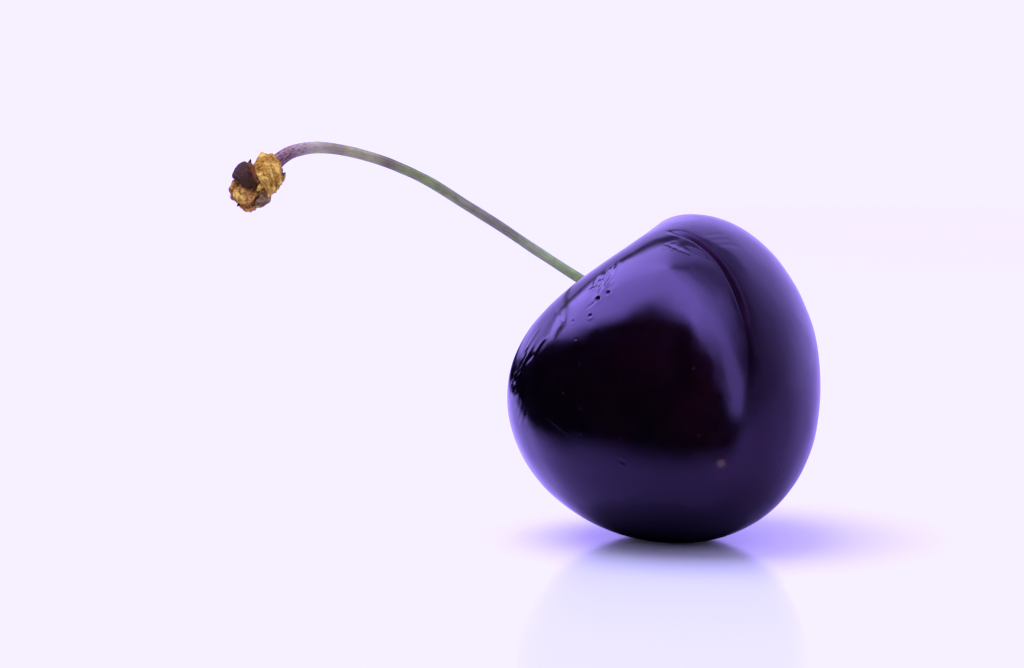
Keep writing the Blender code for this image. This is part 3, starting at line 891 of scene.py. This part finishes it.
def table_look():
    """Pale table: bright, slightly glossy, fading into the surroundings far out. In the reflections
    on the fruit it is bluer, with painted light brighter to the left and a painted shadow nearly
    black at the contact, and dark beyond two or three centimetres on the near side."""
    made, tree, shader = new_look("pale_table")
    shader.inputs["Roughness"].default_value = 0.13
    shader.inputs["IOR"].default_value = 1.42
    rays = node(tree, "LightPath").outputs
    place = object_place(tree)
    offset = node(tree, "VectorMath", {0: place, 1: fruit_centre}, operation="SUBTRACT").outputs[0]
    turned = bearing(tree, offset)
    # Painted light for the reflections: the table brighter to the left, where the panel light falls.
    leftward = outline(tree, turned, [
        (-180, 0.6), (-135, 1.0), (-100, 0.9), (-60, 0.15), (180, 0.3),
    ])
    blue = mixed(tree, leftward, colour(0.25, 0.17, 0.36), colour(0.66, 0.51, 0.96))
    far = node(tree, "VectorMath", {0: place}, operation="LENGTH").outputs["Value"]
    # Painted shadow for the reflections: nearly black round the contact, clearing a centimetre out.
    from_contact = from_range(tree, far, CONTACT_SHADE_START, CONTACT_SHADE_END)
    blue = mixed(tree, from_contact, colour(0.01, 0.005, 0.02), blue)
    shade = mixed(tree, rays["Is Glossy Ray"], colour(0.76, 0.77, 0.76), blue)
    tree.links.new(shade, shader.inputs["Base Color"])
    reach = outline(tree, turned, [
        (-180, 0.38), (-165, 0.24), (-150, 0.20), (-130, 0.15), (-105, 0.070), (-80, 0.046),
        (-55, 0.041), (-5, 0.037), (20, 0.040), (37, 0.050), (48, 0.08), (62, 0.18), (75, 0.9),
        (100, 1.0), (180, 1.0),
    ])
    reached = maths(tree, "DIVIDE", far, maths(tree, "MULTIPLY", reach, MIRRORED_TABLE_REACH))
    unlit = maths(tree, "MULTIPLY", from_range(tree, reached, 0.8, 1.4), rays["Is Glossy Ray"])
    clear = node(tree, "BsdfTransparent").outputs[0]
    surface = node(tree, "MixShader", {0: unlit, 1: shader.outputs[0], 2: clear}).outputs[0]
    fade = from_range(tree, far, TABLE_FADE_START, TABLE_FADE_END)
    surface = node(tree, "MixShader", {0: fade, 1: surface, 2: clear}).outputs[0]
    tree.links.new(surface, tree.nodes["Material Output"].inputs["Surface"])
    return made


table_mesh = bpy.data.meshes.new("table")
corners = np.array([(-1, -1, 0), (1, -1, 0), (1, 1, 0), (-1, 1, 0)]) * TABLE_REACH
table_mesh.from_pydata((corners - (0, 0, TABLE_DROP)).tolist(), [], [(0, 1, 2, 3)])
table = bpy.data.objects.new("table", table_mesh)
bpy.context.scene.collection.objects.link(table)
table.data.materials.append(table_look())


def room_light():
    """The room: pale to the eye; to the gloss, a bright panel overhead, a lit wall behind and to the
    right, and a dark opening towards the viewer; to matt surfaces, an even pale dome."""
    world = bpy.data.worlds.new("studio")
    bpy.context.scene.world = world
    world.use_nodes = True
    world.cycles.sampling_method = "NONE"
    tree = world.node_tree
    way = node(tree, "TexCoord").outputs["Generated"]
    turned = bearing(tree, way)
    height = maths(tree, "ARCSINE", node(tree, "SeparateXYZ", {"Vector": way}).outputs["Z"])
    height = maths(tree, "MULTIPLY_ADD", height, 1 / math.pi, 0.5)

    def level(degrees):
        """A height above the horizon as a share, from 0 straight down to 1 straight up."""
        return 0.5 + degrees / 180

    panel_edge = outline(tree, turned, [
        (-180, level(46)), (-160, level(40)), (-145, level(33)), (-135, level(27)), (-125, level(20)),
        (-113, level(15)), (-103, level(18)), (-80, level(22)), (-55, level(28)), (-30, level(37)),
        (-5, level(40)), (20, level(30)), (32, level(10)), (41, level(-16)), (60, level(-16)),
        (68, level(20)), (80, level(36)), (100, level(44)), (180, level(58)),
    ])
    panel_blur = outline(tree, turned, [
        (-180, 0.10), (-150, 0.07), (-110, 0.03), (-80, 0.06), (-50, 0.10), (-20, 0.14), (20, 0.14),
        (40, 0.06), (60, 0.06), (180, 0.10),
    ])
    panel_low = outline(tree, turned, [
        (-180, 0.32), (-150, 0.48), (-120, 0.60), (-90, 0.50), (-60, 0.45), (-30, 0.43), (0, 0.44),
        (30, 0.10), (37, 0.06), (42, 0.14), (47, 0.24), (53, 0.24), (58, 0.10), (64, 0.03), (80, 0.08),
        (120, 0.30), (180, 0.40),
    ])
    panel_high = outline(tree, turned, [
        (-180, 0.36), (-150, 0.54), (-120, 0.66), (-90, 0.58), (-60, 0.55), (-30, 0.52), (0, 0.52),
        (34, 0.52), (48, 0.42), (61, 0.27), (74, 0.15), (90, 0.10), (120, 0.18), (180, 0.32),
    ])
    wall_foot = outline(tree, turned, [
        (-180, level(-6)), (-165, level(-3)), (-150, level(0)), (-130, level(6)), (-112, level(13)),
        (-98, level(60)), (50, level(60)), (58, level(-20)), (180, level(-20)),
    ])
    wall = outline(tree, turned, [
        (-180, 0.15), (-150, 0.15), (-130, 0.22), (-118, 0.22), (-105, 0.05), (-90, 0.0), (55, 0.0),
        (62, 0.02), (74, 0.032), (86, 0.050), (100, 0.075), (116, 0.120), (130, 0.15), (180, 0.14),
    ])

    def above(edge, blur):
        """0 below an edge's height, rising to 1 over the width of its blur."""
        reached = maths(tree, "ADD", edge, blur)
        inputs = {"Value": height, "From Min": edge, "From Max": reached}
        return node(tree, "MapRange", inputs, interpolation_type="SMOOTHSTEP").outputs[0]

    def between(factor, first, second):
        """A value mixed from two by a factor."""
        return node(tree, "Mix", {"Factor": factor, "A": first, "B": second}).outputs[0]

    raised = from_range(tree, height, level(8), level(46))
    panel = between(raised, panel_low, panel_high)
    gap_place = outline(tree, turned, [
        (-180, 1.0), (-135, 0.8), (-120, 0.0), (95, 0.0), (120, 0.7), (180, 1.0),
    ])
    below_panel = above(maths(tree, "SUBTRACT", panel_edge, 0.06), 0.03)
    wall = maths(tree, "MULTIPLY", wall, above(wall_foot, 0.02))
    shadowed = maths(tree, "MULTIPLY", maths(tree, "MULTIPLY", gap_place, below_panel), GAP_DEPTH)
    wall = maths(tree, "MULTIPLY", wall, maths(tree, "SUBTRACT", 1.0, shadowed))
    mirrored = between(above(panel_edge, panel_blur), wall, panel)
    mirrored = maths(tree, "MULTIPLY_ADD", mirrored, MIRRORED_STRENGTH, MIRRORED_DARKEST)
    rays = node(tree, "LightPath").outputs
    shade = mixed(tree, rays["Is Glossy Ray"], colour(*PALE), colour(*MIRRORED))
    strength = between(rays["Is Glossy Ray"], MATT_STRENGTH, mirrored)
    strength = between(rays["Is Camera Ray"], strength, 1.0)
    background = tree.nodes["Background"]
    tree.links.new(shade, background.inputs["Color"])
    tree.links.new(strength, background.inputs["Strength"])


room_light()

key_data = bpy.data.lights.new("soft_panel", "AREA")
key_data.shape = "RECTANGLE"
key_data.size, key_data.size_y = PANEL_SIDE, PANEL_SIDE
key_data.energy = PANEL_POWER
key_data.color = (0.58, 0.60, 1.0)
key = bpy.data.objects.new("soft_panel", key_data)
key.location = PANEL_PLACE
key.rotation_mode = "QUATERNION"
key.rotation_quaternion = (-key.location).to_track_quat("-Z", "Y")
key.visible_glossy = False
bpy.context.scene.collection.objects.link(key)

# ---------------------------------------------------------------------------------------------
# The camera: a long lens a little above the table, looking along +Y from in front of the fruit, and
# aimed left of it and above it so that the stalk and the knob are in view. It isn't part of the cherry.

CAMERA_ELEVATION = math.radians(8)
CAMERA_DISTANCE = 0.330
LENS = 145.0
AIM_LEFT = 13.0 * MM
AIM_UP = 4.27 * MM
BURNT_OUT = (0.93, 0.88, 1.0)

camera_data = bpy.data.cameras.new("camera")
camera_data.lens = LENS
camera_data.sensor_width = 36.0
camera_data.clip_start, camera_data.clip_end = 0.01, 10.0
camera = bpy.data.objects.new("camera", camera_data)
outward = Vector((0, -math.cos(CAMERA_ELEVATION), math.sin(CAMERA_ELEVATION)))
image_up = Vector((0, math.sin(CAMERA_ELEVATION), math.cos(CAMERA_ELEVATION)))
camera.location = Vector(fruit_centre) + outward * CAMERA_DISTANCE
aim = Vector(fruit_centre) + Vector((-AIM_LEFT, 0, 0)) + image_up * AIM_UP
camera.rotation_mode = "QUATERNION"
camera.rotation_quaternion = (aim - camera.location).to_track_quat("-Z", "Y")
bpy.context.scene.collection.objects.link(camera)
bpy.context.scene.camera = camera

# The exposure is on the bright side, so that the table burns out to a faint violet white.
view_settings = bpy.context.scene.view_settings
view_settings.view_transform = "Standard"
view_settings.use_curve_mapping = True
for curve, white in zip(view_settings.curve_mapping.curves, BURNT_OUT):
    curve.points[0].location = (0.0, 0.0)
    curve.points[-1].location = (1.0, white)
view_settings.curve_mapping.extend = "HORIZONTAL"
view_settings.curve_mapping.update()
